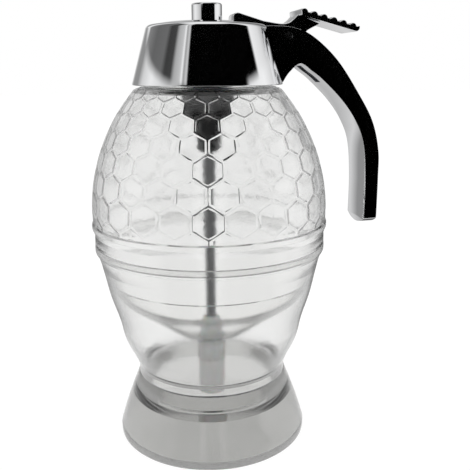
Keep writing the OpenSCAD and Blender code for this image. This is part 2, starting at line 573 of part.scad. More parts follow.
// The return spring: one round wire, wound by a formula.
coil_low = collar_z + collar_t + wire_r + 0.02;
coil_high = washer_z - wire_r - 0.02;
rings_per_turn = 8;
wire_sides = 6;
coil_rings = spring_turns * rings_per_turn;
function coil_height(t) = coil_low + (coil_high - coil_low) * t;
function coil_point(t, side) = let (a = 360 * spring_turns * t, b = 360 * side / wire_sides,
    r = spring_r + wire_r * cos(b)) [r * cos(a), r * sin(a), coil_height(t) + wire_r * sin(b)];
coil_points = concat([for (k = [0 : coil_rings], s = [0 : wire_sides - 1]) coil_point(k / coil_rings, s)]);
coil_faces = concat(
    [[for (s = [0 : wire_sides - 1]) s]],
    [for (k = [0 : coil_rings - 1], s = [0 : wire_sides - 1]) let (n = (s + 1) % wire_sides, a = k * wire_sides,
        b = a + wire_sides) each [[a + s, b + s, b + n], [a + s, b + n, a + n]]],
    [[for (s = [wire_sides - 1 : -1 : 0]) coil_rings * wire_sides + s]]);
// Least gap between neighbouring turns, measured on the wire's own points.
turn_gap = min([for (s = [0 : wire_sides - 1], q = [0 : wire_sides - 1])
    norm(coil_point(0, s) - coil_point(rings_per_turn / coil_rings, q))]);
echo(spring_gap_to_itself = turn_gap);

module return_spring() color([0.65, 0.66, 0.68]) polyhedron(coil_points, coil_faces);

module stopper() color([0.96, 0.96, 0.94]) difference() {
    revolve(concat([[0, seat_z - 3.4], [spout_bore_r - 1.2, seat_z - 3.4], [spout_bore_r - 0.4, seat_z - 1.6],
                    [spout_bore_r - 0.3, seat_z + 0.02], [spout_r - 0.35, seat_z + 0.02],
                    [spout_r - 0.35, seat_z + 0.8]],
                   spline([[spout_r - 0.7, seat_z + 1.4], [stem_r + 0.5, seat_z + 2.1], [stem_r, seat_z + 3.4]], 4),
                   arc([stem_r - 0.6, stopper_top_z - 0.6], 0.6, 0, 90, 4),
                   [[0, stopper_top_z]]));
    translate([0, 0, rod_foot_z]) cylinder(r = rod_r, h = 12);
}

stand();
jar_bowl();
jar_upper();
funnel();
outlet_spout();
cap_shell();
cap_liner();
liner_screws();
guide_bush();
rod_seal();
spring_washer();
handle();
handle_screws();
pivot_pin();
neck_gasket();
trigger_lever();
lift_post();
valve_rod();
spring_collar();
collar_clip();
return_spring();
stopper();
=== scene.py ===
import math

import bmesh
import bpy
import numpy as np
from mathutils import Matrix, Vector


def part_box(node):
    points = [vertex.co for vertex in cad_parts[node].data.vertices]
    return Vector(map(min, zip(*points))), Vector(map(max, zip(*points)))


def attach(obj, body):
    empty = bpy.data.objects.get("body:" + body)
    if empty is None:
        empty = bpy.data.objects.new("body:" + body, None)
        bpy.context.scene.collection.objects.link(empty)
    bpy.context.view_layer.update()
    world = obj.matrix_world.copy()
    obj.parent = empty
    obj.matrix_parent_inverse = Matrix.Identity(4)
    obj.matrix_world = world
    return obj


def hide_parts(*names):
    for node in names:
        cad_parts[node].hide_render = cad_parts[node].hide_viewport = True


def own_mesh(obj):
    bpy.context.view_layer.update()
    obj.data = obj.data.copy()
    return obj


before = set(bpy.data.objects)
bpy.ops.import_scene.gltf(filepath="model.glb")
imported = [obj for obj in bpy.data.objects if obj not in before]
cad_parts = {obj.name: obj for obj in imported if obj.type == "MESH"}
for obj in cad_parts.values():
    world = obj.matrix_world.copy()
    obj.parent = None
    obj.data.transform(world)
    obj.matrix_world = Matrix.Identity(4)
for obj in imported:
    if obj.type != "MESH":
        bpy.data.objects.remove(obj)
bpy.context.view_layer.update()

MM = 0.001

# ---------- sizes in millimetres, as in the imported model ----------

STAND_H, STAND_FOOT_R, STAND_RIM_R, STAND_WALL = 25.6, 38.4, 30.2, 1.7
FOOT_BAND_H, STAND_FLOOR = 2.4, 2.0
COLLAR_BORE_R, UNDER_COLLAR_Z = 28.5, 18.0
FOOT_R = 28.2
JAR_R, JAR_WALL = 46.1, 2.2
BOWL_H, RING_R = 50.6, 45.2
RING_Z = STAND_H + BOWL_H
SEAM_Z = RING_Z + 4.0
COMB_Z = SEAM_Z + 6.6
NECK_Z = COMB_Z + 52.8
LIP_Z = NECK_Z + 9.0
NECK_R, NECK_BORE_R = 21.0, 18.6
CAP_Z = NECK_Z + 0.5
CAP_H, CAP_R, CAP_TOP_R, CAP_WALL = 20.0, 28.4, 22.9, 1.8
SHOULDER_Z = CAP_Z + CAP_H
TOP_Z = SHOULDER_Z + 3.0
PLATE_Z = LIP_Z + 1.2
PLATE_T = 2.5
BOSS_R, HOUSING_R = 9.5, 7.5
BOSS_Z = PLATE_Z - 23.0
BUSH_R, BUSH_H = 5.0, 12.0
SPOUT_R, SPOUT_BORE_R, SPOUT_TIP_Z, SEAT_Z = 5.35, 3.85, 15.2, 41.0
FUNNEL_RIM_Z, FUNNEL_WALL = 66.0, 1.6
ROD_R, POST_R = 2.0, 5.66
POST_TOP_Z = TOP_Z + 6.2
POST_Z = PLATE_Z + PLATE_T + 3.7
PIVOT = (29.4, SHOULDER_Z - 2.4)
POCKET_Z = PIVOT[1] - 5.3
SLOT_W, SLOT_START, SLOT_END = 9.8, 8.0, PIVOT[0] + 10.4
HANDLE_W, GRIP_X, GRIP_T, GRIP_TIP_Z = 17.0, 67.7, 5.5, 84.0
LEVER_W, PAD_W = 9.0, 15.0


# ---------- curves ----------

def spline(points, steps=8):
    """A smooth curve through stations, as the model's own curves run."""
    p = [np.array(q, float) for q in points]
    def tangent(i):
        if i == 0:
            return p[1] - p[0]
        if i == len(p) - 1:
            return p[i] - p[i - 1]
        return (p[i + 1] - p[i - 1]) / 2
    out = []
    for i in range(len(p) - 1):
        for k in range(steps):
            t = k / steps
            out.append((2 * t**3 - 3 * t**2 + 1) * p[i] + (t**3 - 2 * t**2 + t) * tangent(i)
                       + (3 * t**2 - 2 * t**3) * p[i + 1] + (t**3 - t**2) * tangent(i + 1))
    out.append(p[-1])
    return [tuple(q) for q in out]


def arc(centre, r, a0, a1, steps=8):
    return [(centre[0] + r * math.cos(math.radians(a0 + (a1 - a0) * k / steps)),
             centre[1] + r * math.sin(math.radians(a0 + (a1 - a0) * k / steps))) for k in range(steps + 1)]


def shifted(points, dx):
    return [(x + dx, z) for x, z in points]


def at_height(points, z):
    zs = [q[1] for q in points]
    return float(np.interp(z, zs, [q[0] for q in points]))


# ---------- mesh makers ----------

def link(obj):
    bpy.context.scene.collection.objects.link(obj)
    return obj


def to_object(bm, name):
    """Closes seams, turns the faces outwards, scales millimetres to metres and makes the object."""
    bmesh.ops.remove_doubles(bm, verts=bm.verts, dist=1e-5)
    bmesh.ops.recalc_face_normals(bm, faces=bm.faces)
    bm.transform(Matrix.Scale(MM, 4))
    mesh = bpy.data.meshes.new(name)
    bm.to_mesh(mesh)
    bm.free()
    return link(bpy.data.objects.new(name, mesh))


def shade(obj, sharp=30.0):
    obj.data.shade_smooth()
    obj.data.set_sharp_from_angle(angle=math.radians(sharp))
    return obj


def lathe(name, outline, sides=192, sharp=30.0):
    """A closed outline of (radius, height) turned about the jar's axis."""
    bm = bmesh.new()
    rings = []
    for r, z in outline:
        if r < 1e-6:
            rings.append([bm.verts.new((0, 0, z))])
        else:
            rings.append([bm.verts.new((r * math.cos(2 * math.pi * k / sides),
                                        r * math.sin(2 * math.pi * k / sides), z)) for k in range(sides)])
    for low, high in zip(rings, rings[1:] + rings[:1]):
        if len(low) == 1 and len(high) == 1:
            continue
        for k in range(sides):
            n = (k + 1) % sides
            if len(low) == 1:
                bm.faces.new([low[0], high[n], high[k]])
            elif len(high) == 1:
                bm.faces.new([low[k], low[n], high[0]])
            else:
                bm.faces.new([low[k], low[n], high[n], high[k]])
    return shade(to_object(bm, name), sharp)


def slab(name, outline, width):
    """An outline in the X-Z plane, extruded along Y and centred on the handle's plane."""
    bm = bmesh.new()
    near = [bm.verts.new((x, -width / 2, z)) for x, z in outline]
    far = [bm.verts.new((x, width / 2, z)) for x, z in outline]
    bm.faces.new(near)
    bm.faces.new(far[::-1])
    for k in range(len(outline)):
        n = (k + 1) % len(outline)
        bm.faces.new([near[n], near[k], far[k], far[n]])
    return to_object(bm, name)


def box_piece(name, low, high):
    bm = bmesh.new()
    bmesh.ops.create_cube(bm, size=1.0)
    for v in bm.verts:
        v.co = Vector([low[i] + (v.co[i] + 0.5) * (high[i] - low[i]) for i in range(3)])
    return to_object(bm, name)


def cylinder_along(name, start, end, r, sides=64):
    start, end = Vector(start), Vector(end)
    bm = bmesh.new()
    turn = (end - start).to_track_quat("Z", "Y").to_matrix().to_4x4()
    bmesh.ops.create_cone(bm, cap_ends=True, segments=sides, radius1=r, radius2=r, depth=(end - start).length,
                          matrix=Matrix.Translation((start + end) / 2) @ turn)
    return to_object(bm, name)


def evaluated(obj):
    """The object's mesh with its modifiers applied, as a plain mesh."""
    bpy.context.view_layer.update()
    graph = bpy.context.evaluated_depsgraph_get()
    mesh = bpy.data.meshes.new_from_object(obj.evaluated_get(graph))
    obj.modifiers.clear()
    obj.data = mesh
    return obj


def bevelled(obj, width, segments=3, angle=40.0):
    mod = obj.modifiers.new("edge", "BEVEL")
    mod.width, mod.segments, mod.limit_method = width * MM, segments, "ANGLE"
    mod.angle_limit = math.radians(angle)
    mod.use_clamp_overlap = True
    return evaluated(obj)


WELD = 5e-6                                # in metres: closer points of a cut piece become one


def cut(obj, *tools, join=False):
    for tool in tools:
        mod = obj.modifiers.new("cut", "BOOLEAN")
        mod.operation, mod.solver, mod.object = ("UNION" if join else "DIFFERENCE"), "EXACT", tool
        evaluated(obj)
        bpy.data.objects.remove(tool)
    bm = bmesh.new()
    bm.from_mesh(obj.data)
    bmesh.ops.remove_doubles(bm, verts=bm.verts, dist=WELD)
    bmesh.ops.dissolve_degenerate(bm, edges=bm.edges, dist=1e-7)
    bm.to_mesh(obj.data)
    bm.free()
    return obj


# ---------- node helpers ----------

def feed(tree, sockets, values):
    """Sets each socket to its number or colour, or links it to its value."""
    for socket, value in zip(sockets, values):
        if isinstance(value, (int, float, tuple)):
            socket.default_value = value
        else:
            tree.links.new(value, socket)


def calc(tree, operation, *values):
    node = tree.nodes.new("ShaderNodeMath")
    node.operation = operation
    feed(tree, node.inputs, values)
    return node.outputs[0]


def ranged(tree, value, low, high, start=0.0, stop=1.0):
    """Runs from low to high as the value runs from start to stop."""
    node = tree.nodes.new("ShaderNodeMapRange")
    names = ("Value", "From Min", "From Max", "To Min", "To Max")
    feed(tree, [node.inputs[name] for name in names], (value, start, stop, low, high))
    return node.outputs["Result"]


# ---------- materials ----------

def shader(name, **values):
    mat = bpy.data.materials.new(name)
    mat.use_nodes = True
    bsdf = mat.node_tree.nodes["Principled BSDF"]
    for key, value in values.items():
        bsdf.inputs[key.replace("_", " ")].default_value = value
    return mat, mat.node_tree, bsdf


def bump(tree, bsdf, height, strength, distance):
    node = tree.nodes.new("ShaderNodeBump")
    node.inputs["Strength"].default_value = strength
    node.inputs["Distance"].default_value = distance
    tree.links.new(height, node.inputs["Height"])
    tree.links.new(node.outputs["Normal"], bsdf.inputs["Normal"])


def noise(tree, scale, detail=2.0, stretch=(1, 1, 1)):
    place = tree.nodes.new("ShaderNodeTexCoord")
    mapping = tree.nodes.new("ShaderNodeMapping")
    mapping.inputs["Scale"].default_value = stretch
    tex = tree.nodes.new("ShaderNodeTexNoise")
    tex.inputs["Scale"].default_value = scale
    tex.inputs["Detail"].default_value = detail
    tree.links.new(place.outputs["Object"], mapping.inputs["Vector"])
    tree.links.new(mapping.outputs["Vector"], tex.inputs["Vector"])
    return tex.outputs["Fac"]


HAZE = 0.11                                # mean roughness of the clear plastic, which softens its far wall
STEEL_SHADE = (0.42, 0.425, 0.43, 1)       # darker than bare steel, as the photograph shows the rod


def clear_plastic(name, tint=(0.94, 0.941, 0.937, 1), waviness=0.05, ior=1.49):
    """Moulded clear plastic: faint flow lines in the surface and fine handling haze."""
    mat, tree, bsdf = shader(name, Base_Color=tint, Roughness=0.0, IOR=ior, Transmission_Weight=1.0)
    bump(tree, bsdf, noise(tree, 70.0, 1.5, (1, 1, 0.35)), waviness, 0.0004)
    tree.links.new(ranged(tree, noise(tree, 300.0, 3.0), HAZE * 0.8, HAZE * 1.2), bsdf.inputs["Roughness"])
    return mat


def chrome_plate(name):
    """Bright plating over moulded plastic: very slight orange peel and polishing haze."""
    mat, tree, bsdf = shader(name, Base_Color=(0.86, 0.865, 0.875, 1), Metallic=1.0, Roughness=0.03)
    bump(tree, bsdf, noise(tree, 90.0, 2.0), 0.02, 0.0003)
    tree.links.new(ranged(tree, noise(tree, 450.0, 4.0), 0.03, 0.07), bsdf.inputs["Roughness"])
    return mat


def steel(name):
    """Polished steel: fine lines along the wire or rod."""
    mat, tree, bsdf = shader(name, Base_Color=STEEL_SHADE, Metallic=1.0, Roughness=0.2)
    lines = noise(tree, 900.0, 3.0, (1, 1, 0.02))
    bump(tree, bsdf, lines, 0.05, 0.00003)
    tree.links.new(ranged(tree, lines, 0.14, 0.26), bsdf.inputs["Roughness"])
    return mat


def moulded(name, colour, rough, **values):
    """Solid moulded plastic or rubber with a fine skin."""
    mat, tree, bsdf = shader(name, Base_Color=(*colour, 1), Roughness=rough, **values)
    bump(tree, bsdf, noise(tree, 600.0, 3.0), 0.1, 0.00008)
    tree.links.new(ranged(tree, noise(tree, 150.0, 2.0), rough * 0.8, rough * 1.2), bsdf.inputs["Roughness"])
    return mat


MILKY = (0.95, 0.95, 0.94)
JAR_CLEAR = clear_plastic("jar_clear")
# The stand's grey tint is painted shade: it stands in for the floor's shadow seen through the clear stand.
STAND_CLEAR_PAINTED_SHADE = clear_plastic("stand_clear_painted_shade", (0.7, 0.7, 0.69, 1), 0.06)
FUNNEL_CLEAR = clear_plastic("funnel_clear", (0.985, 0.985, 0.98, 1), 0.04, 1.06)
CHROME = chrome_plate("chrome_plate")
STEEL = steel("drawn_steel")
BLACK = moulded("black_moulding", (0.008, 0.008, 0.009), 0.14, Specular_IOR_Level=0.35)
WHITE = moulded("white_moulding", MILKY, 0.4, Subsurface_Weight=0.2, Subsurface_Scale=0.002)
SILICONE = moulded("white_silicone", MILKY, 0.45, Subsurface_Weight=0.3, Subsurface_Scale=0.003)
RUBBER = moulded("black_seal", (0.02, 0.02, 0.02), 0.6)


def finish_piece(obj, body, slot, material, *replaced):
    obj.data.materials.clear()
    obj.data.materials.append(material)
    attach(obj, body)
    if replaced:
        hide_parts(*replaced)
    return obj


# ---------- stand ----------

def stand_piece():
    run, rise = STAND_FOOT_R - STAND_RIM_R, STAND_H - FOOT_BAND_H
    flank = spline([(STAND_FOOT_R, FOOT_BAND_H), (STAND_FOOT_R - 0.33 * run, FOOT_BAND_H + 0.37 * rise),
                    (STAND_FOOT_R - 0.68 * run, FOOT_BAND_H + 0.7 * rise), (STAND_RIM_R, STAND_H - 0.3)], 10)
    inner = [q for q in shifted(flank, -STAND_WALL) if q[1] < UNDER_COLLAR_Z - 1]
    outline = ([(0, 0), (STAND_FOOT_R - 0.6, 0)] + arc((STAND_FOOT_R - 0.4, 0.4), 0.4, -60, 0, 4) + flank
               + [(STAND_RIM_R - 0.1, STAND_H - 0.1), (STAND_RIM_R - 0.3, STAND_H),
                  (COLLAR_BORE_R + 0.3, STAND_H), (COLLAR_BORE_R, STAND_H - 0.3),
                  (COLLAR_BORE_R, UNDER_COLLAR_Z)]
               + inner[::-1] + [(STAND_FOOT_R - STAND_WALL - 0.8, STAND_FLOOR + 0.3),
                                (STAND_FOOT_R - STAND_WALL - 2, STAND_FLOOR), (0, STAND_FLOOR)])
    return lathe("stand_cup", outline)


# ---------- jar ----------

BOWL_TOP_R = RING_R - 1.9
BOWL_SHARES = [(0.09, 30.2), (0.19, 32.5), (0.275, 34.6), (0.35, 35.8), (0.43, 36.6), (0.51, 37.65),
               (0.67, 40.2), (0.83, 42.0)]
BOWL_SIDE = spline([(r * BOWL_TOP_R / 43.3, STAND_H + s * BOWL_H) for s, r in BOWL_SHARES]
                   + [(BOWL_TOP_R, RING_Z - 2.8)], 8)
RABBET_R = RING_R - 1.75


def bowl_piece():
    inside = [q for q in shifted(BOWL_SIDE, -JAR_WALL) if q[1] < RING_Z - 4.3]
    outline = ([(FOOT_R - JAR_WALL, STAND_H - 7.6), (FOOT_R - 0.3, STAND_H - 7.6), (FOOT_R, STAND_H - 7.3),
                (FOOT_R, STAND_H), (STAND_RIM_R - 0.2, STAND_H), (STAND_RIM_R - 0.2, STAND_H + 0.06 * BOWL_H)]
               + BOWL_SIDE + arc((RING_R - 2.2, RING_Z + 2.2), 2.2, -56, 0, 8)
               + arc((RING_R - 0.6, SEAM_Z - 0.6), 0.6, 0, 90, 4)
               + [(RABBET_R, SEAM_Z), (RABBET_R, SEAM_Z - 2.6), (RABBET_R - 1.4, SEAM_Z - 2.6),
                  (BOWL_TOP_R - JAR_WALL, RING_Z - 3.8)]
               + inside[::-1] + [(FOOT_R - JAR_WALL, STAND_H + 0.04 * BOWL_H)])
    return lathe("jar_bowl_clear", outline, sharp=24.0)


CELLS, CELL_ROWS, ROW_SHARE = 25, 6, 0.79
HALF = math.pi / CELLS
SHELL_R, SHELL_BOW, WIDEST_Z = JAR_R - 0.8, 71.5, COMB_Z + 4.6
COMB_LOW, COMB_TOP = COMB_Z + 2.2, NECK_Z - 0.9
COMB_TURN = math.radians(-101.4) - HALF
STEPS = 4                                  # mesh steps along each side of a cell
RAMP_CURVE = 1.6                           # how gently the groove between two pads begins to rise


def shell_r(z):
    return SHELL_R - SHELL_BOW + math.sqrt(SHELL_BOW**2 - (z - WIDEST_Z) ** 2)


def row_rise(z):
    slope = (z - WIDEST_Z) / math.sqrt(SHELL_BOW**2 - (z - WIDEST_Z) ** 2)
    return ROW_SHARE * 2 * math.pi * shell_r(z) / CELLS * math.cos(math.atan(slope))


def row_levels():
    first = COMB_Z + 9.7
    levels = [first - row_rise(first)]
    while len(levels) < CELL_ROWS + 2:
        z = levels[-1]
        levels.append(z + row_rise(z + 0.5 * row_rise(z)))
    return levels


def comb_cage():
    """The upper shell with one plain face for each cell. The faces that carry a pad are marked."""
    levels, rows = row_levels(), CELL_ROWS + 2
    def line_z(i, m):
        if i == 0:
            return COMB_LOW
        if i == rows:
            return COMB_TOP
        return levels[i - 1] + (levels[i] - levels[i - 1]) * ((1 if (m + i) % 2 == 0 else 2) / 3)
    def side(a, b):
        """Steps from corner a to corner b, each (half step, height), without the end."""
        return [(a[0] + (b[0] - a[0]) * k / STEPS, a[1] + (b[1] - a[1]) * k / STEPS) for k in range(STEPS)]
    def place(m, z):
        a = COMB_TURN + m * HALF
        return (shell_r(z) * math.cos(a), shell_r(z) * math.sin(a), z)
    bm = bmesh.new()
    mark = bm.faces.layers.bool.new("cell")
    for i in range(rows):
        for j in range(CELLS):
            m = 2 * j + i % 2
            corners = [(m, line_z(i, m)), (m + 1, line_z(i, m + 1)), (m + 1, line_z(i + 1, m + 1)),
                       (m, line_z(i + 1, m)), (m - 1, line_z(i + 1, m - 1)), (m - 1, line_z(i, m - 1))]
            ring = [q for k in range(6) for q in side(corners[k], corners[(k + 1) % 6])]
            face = bm.faces.new([bm.verts.new(place(*q)) for q in ring])
            face[mark] = True
    around = 2 * CELLS * STEPS
    inner_top = NECK_Z - 3.2
    wall = JAR_WALL + 0.2
    shoulder = ([(shell_r(COMB_TOP), COMB_TOP), (shell_r(COMB_TOP + 0.3), COMB_TOP + 0.3)]
                + arc((shell_r(NECK_Z) - 1.2, NECK_Z - 0.65), 0.65, 35, 90, 3)
                + [(NECK_R + 0.8, NECK_Z), (NECK_R + 0.2, NECK_Z + 0.2), (NECK_R, NECK_Z + 0.8)])
    neck = ([(NECK_R, LIP_Z - 0.5)] + arc((NECK_R - 0.4, LIP_Z - 0.4), 0.4, 0, 90, 3)
            + arc((NECK_BORE_R + 0.4, LIP_Z - 0.4), 0.4, 90, 180, 3)
            + [(NECK_BORE_R, NECK_Z + 1.5), (NECK_BORE_R + 0.3, NECK_Z - 0.6),
               (NECK_BORE_R + 1.5, NECK_Z - wall + 0.2)])
    inner = [(shell_r(z) - wall, z) for z in np.linspace(inner_top, COMB_Z, 30)]
    seam = ([(RABBET_R - 1.25, SEAM_Z - 2.45), (RABBET_R - 0.15, SEAM_Z - 2.45), (RABBET_R - 0.15, SEAM_Z),
             (RING_R - 0.9, SEAM_Z)]
            + arc((RING_R - 0.7, SEAM_Z + 0.6), 0.6, -90, 0, 4)
            + [(RING_R - 0.1, SEAM_Z + 2.5), (RING_R - 0.2, SEAM_Z + 4.3)])
    band = (arc((JAR_R - 0.75, COMB_Z + 0.3), 0.6, -50, 0, 4) + [(JAR_R - 0.15, COMB_LOW - 0.8)]
            + arc((JAR_R - 0.55, COMB_LOW - 0.7), 0.4, 0, 60, 3) + [(shell_r(COMB_LOW), COMB_LOW)])
    turns = [COMB_TURN + k * HALF / STEPS for k in range(around)]
    rings = [[bm.verts.new((r * math.cos(a), r * math.sin(a), z)) for a in turns]
             for r, z in shoulder + neck + inner + seam + band]
    for low, high in zip(rings, rings[1:]):
        for k in range(around):
            n = (k + 1) % around
            bm.faces.new([low[k], low[n], high[n], high[k]])
    return to_object(bm, "jar_upper_clear")


def pads_tree():
    """Raises a lens-shaped pad with a bevelled edge on every marked face."""
    tree = bpy.data.node_groups.new("honeycomb_pads", "GeometryNodeTree")
    face = tree.interface
    face.new_socket("Geometry", in_out="INPUT", socket_type="NodeSocketGeometry")
    sizes = {"Pad Share": 0.83, "Edge Height": 0.0005, "Crown Height": 0.0003}
    for name, value in sizes.items():
        socket = face.new_socket(name, in_out="INPUT", socket_type="NodeSocketFloat")
        socket.default_value = value
    face.new_socket("Material", in_out="INPUT", socket_type="NodeSocketMaterial")
    face.new_socket("Geometry", in_out="OUTPUT", socket_type="NodeSocketGeometry")
    new = tree.nodes.new
    start, end = new("NodeGroupInput"), new("NodeGroupOutput")
    marked = new("GeometryNodeInputNamedAttribute")
    marked.data_type = "BOOLEAN"
    marked.inputs["Name"].default_value = "cell"
    area, keep = new("GeometryNodeInputMeshFaceArea"), new("GeometryNodeStoreNamedAttribute")
    keep.data_type, keep.domain = "FLOAT", "FACE"
    keep.inputs["Name"].default_value = "cell_area"
    tree.links.new(start.outputs["Geometry"], keep.inputs["Geometry"])
    tree.links.new(area.outputs[0], keep.inputs["Value"])
    named = new("GeometryNodeInputNamedAttribute")
    named.data_type = "FLOAT"
    named.inputs["Name"].default_value = "cell_area"
    full_side = 0.0107                       # square root of the widest cell's area, in metres
    size = calc(tree, "DIVIDE", calc(tree, "SQRT", named.outputs["Attribute"]), full_side)
    state = {"geometry": keep.outputs["Geometry"], "top": marked.outputs["Attribute"]}
    def raise_faces(scale, height):
        extrude = new("GeometryNodeExtrudeMesh")
        extrude.mode = "FACES"
        extrude.inputs["Individual"].default_value = True
        tree.links.new(state["geometry"], extrude.inputs["Mesh"])
        tree.links.new(state["top"], extrude.inputs["Selection"])
        tree.links.new(calc(tree, "MULTIPLY", height, size), extrude.inputs["Offset Scale"])
        shrink = new("GeometryNodeScaleElements")
        shrink.domain = "FACE"
        tree.links.new(extrude.outputs["Mesh"], shrink.inputs["Geometry"])
        tree.links.new(extrude.outputs["Top"], shrink.inputs["Selection"])
        feed(tree, [shrink.inputs["Scale"]], [scale])
        state["geometry"], state["top"] = shrink.outputs["Geometry"], extrude.outputs["Top"]
    def share_at(t):
        """Half width of the pad's ramp, from the groove at 0 to the crisp edge at 1."""
        return calc(tree, "ADD", calc(tree, "MULTIPLY", start.outputs["Pad Share"], t), 1 - t)
    ramp_steps = 4
    for k in range(ramp_steps):
        t0, t1 = k / ramp_steps, (k + 1) / ramp_steps
        raise_faces(calc(tree, "DIVIDE", share_at(t1), share_at(t0)),
                    calc(tree, "MULTIPLY", start.outputs["Edge Height"], t1**RAMP_CURVE - t0**RAMP_CURVE))
    shares = [1.0, 0.85, 0.68, 0.5, 0.3, 0.12]      # rings of the lens, as shares of its half width
    for outer, inner in zip(shares, shares[1:]):
        lens = calc(tree, "MULTIPLY", start.outputs["Crown Height"], outer**2 - inner**2)
        raise_faces(inner / outer, lens)
    realize, paint = new("GeometryNodeRealizeInstances"), new("GeometryNodeSetMaterial")
    tree.links.new(state["geometry"], realize.inputs["Geometry"])
    tree.links.new(realize.outputs["Geometry"], paint.inputs["Geometry"])
    tree.links.new(start.outputs["Material"], paint.inputs["Material"])
    tree.links.new(paint.outputs["Geometry"], end.inputs["Geometry"])
    return tree


def with_tree(obj, tree, **values):
    """Runs a node tree on a piece and keeps its result as a plain mesh."""
    mod = obj.modifiers.new(tree.name, "NODES")
    mod.node_group = tree
    wanted = {name.replace("_", " "): value for name, value in values.items()}
    for item in tree.interface.items_tree:
        if item.item_type == "SOCKET" and item.in_out == "INPUT" and item.name in wanted:
            mod[item.identifier] = wanted[item.name]
    return evaluated(obj)


def upper_piece():
    cage = comb_cage()
    return shade(with_tree(cage, pads_tree(), Material=JAR_CLEAR), 22.0)


# ---------- funnel, spout, stopper ----------

def funnel_piece():
    def inside(z):
        return at_height(BOWL_SIDE, z) - JAR_WALL
    seat_r, rise = inside(FUNNEL_RIM_Z), FUNNEL_RIM_Z - SEAT_Z
    slope = [(0.23, 0.02), (0.39, 0.18), (0.63, 0.46), (0.87, 0.745)]    # shares of the rim's radius and rise
    bed = spline([(SPOUT_R + 0.1, SEAT_Z - 0.3)] + [(r * seat_r, SEAT_Z + z * rise) for r, z in slope]
                 + [(seat_r - 1.1, FUNNEL_RIM_Z)], 10)
    under = [(r + 0.6 * FUNNEL_WALL, z - 0.95 * FUNNEL_WALL) for r, z in bed
             if SPOUT_R + 3 < r < 0.9 * seat_r]
    neck_r = SPOUT_R + 1.7
    outline = ([(SPOUT_R, SEAT_Z - 11), (neck_r - 0.3, SEAT_Z - 11), (neck_r, SEAT_Z - 10.7),
                (neck_r, SEAT_Z - 3.4)] + under
               + [(inside(FUNNEL_RIM_Z - 2.4) - 0.15, FUNNEL_RIM_Z - 2.4), (seat_r - 0.15, FUNNEL_RIM_Z)]
               + bed[::-1] + [(SPOUT_R, SEAT_Z - 0.3)])
    return lathe("funnel_clear", outline, sharp=24.0)


def spout_piece():
    outline = ([(SPOUT_BORE_R, SPOUT_TIP_Z)] + arc((SPOUT_R - 0.8, SPOUT_TIP_Z + 0.5), 0.5, -90, 0, 4)
               + [(SPOUT_R, SPOUT_TIP_Z + 4)] + arc((SPOUT_R - 0.4, SEAT_Z - 0.4), 0.4, 0, 90, 4)
               + [(SPOUT_BORE_R, SEAT_Z)])
    return lathe("outlet_spout_white", outline, 96)


def stopper_piece():
    stem_r, top = 1.72 * ROD_R, SEAT_Z + 5.7
    outline = ([(ROD_R, SEAT_Z - 1.5), (0.0, SEAT_Z - 1.5), (0.0, SEAT_Z - 3.4),
                (SPOUT_BORE_R - 1.2, SEAT_Z - 3.4), (SPOUT_BORE_R - 0.4, SEAT_Z - 1.6),
                (SPOUT_BORE_R - 0.3, SEAT_Z + 0.02), (SPOUT_R - 0.4, SEAT_Z + 0.02),
                (SPOUT_R - 0.35, SEAT_Z + 0.2), (SPOUT_R - 0.35, SEAT_Z + 0.7)]
               + spline([(SPOUT_R - 0.7, SEAT_Z + 1.4), (stem_r + 0.5, SEAT_Z + 2.1),
                         (stem_r, SEAT_Z + 3.4)], 6)
               + arc((stem_r - 0.6, top - 0.6), 0.6, 0, 90, 5) + [(ROD_R, top)])
    return lathe("stopper_white", outline, 96)


def rod_piece():
    foot, groove, tenon_r = SEAT_Z - 1.5, BOSS_Z + 2.9, 0.75 * ROD_R
    outline = [(0, foot), (ROD_R, foot), (ROD_R, groove), (ROD_R - 0.4, groove), (ROD_R - 0.4, groove + 0.6),
               (ROD_R, groove + 0.6), (ROD_R, POST_Z + 1.5), (tenon_r, POST_Z + 1.5), (tenon_r, POST_Z + 8),
               (0, POST_Z + 8)]
    return lathe("valve_rod_steel", outline, 96)


# ---------- cap ----------

CAP_OUTSIDE = ([(CAP_R, CAP_Z + 0.5)] + arc((CAP_TOP_R - 2, SHOULDER_Z - 0.5), 2.0, 15, 78, 10)
               + spline([(CAP_TOP_R - 3.2, SHOULDER_Z + 1.7), (14, TOP_Z - 0.5), (4, TOP_Z)], 8))


def cone_r(z):
    return CAP_R - (CAP_R - CAP_TOP_R) / CAP_H * (z - CAP_Z)


def lever_slot():
    return box_piece("slot_tool", (SLOT_START, -SLOT_W / 2, POCKET_Z), (SLOT_END, SLOT_W / 2, POCKET_Z + 20))


def cap_piece():
    hole_r = POST_R + 0.08
    ceiling = TOP_Z - CAP_WALL
    outside = [q for q in CAP_OUTSIDE if q[0] > hole_r + 0.6]
    outline = ([(CAP_R - CAP_WALL, CAP_Z), (CAP_R - 0.6, CAP_Z)]
               + arc((CAP_R - 0.45, CAP_Z + 0.45), 0.45, -60, 0, 4) + outside
               + [(hole_r + 0.3, TOP_Z - 0.03), (hole_r, TOP_Z - 0.3), (hole_r, ceiling), (10, ceiling - 0.3),
                  (CAP_TOP_R - 3, SHOULDER_Z - 0.2), (cone_r(SHOULDER_Z - 2) - CAP_WALL, SHOULDER_Z - 2)])
    return shade(cut(lathe("cap_shell_chrome", outline, 256), lever_slot()), 30)


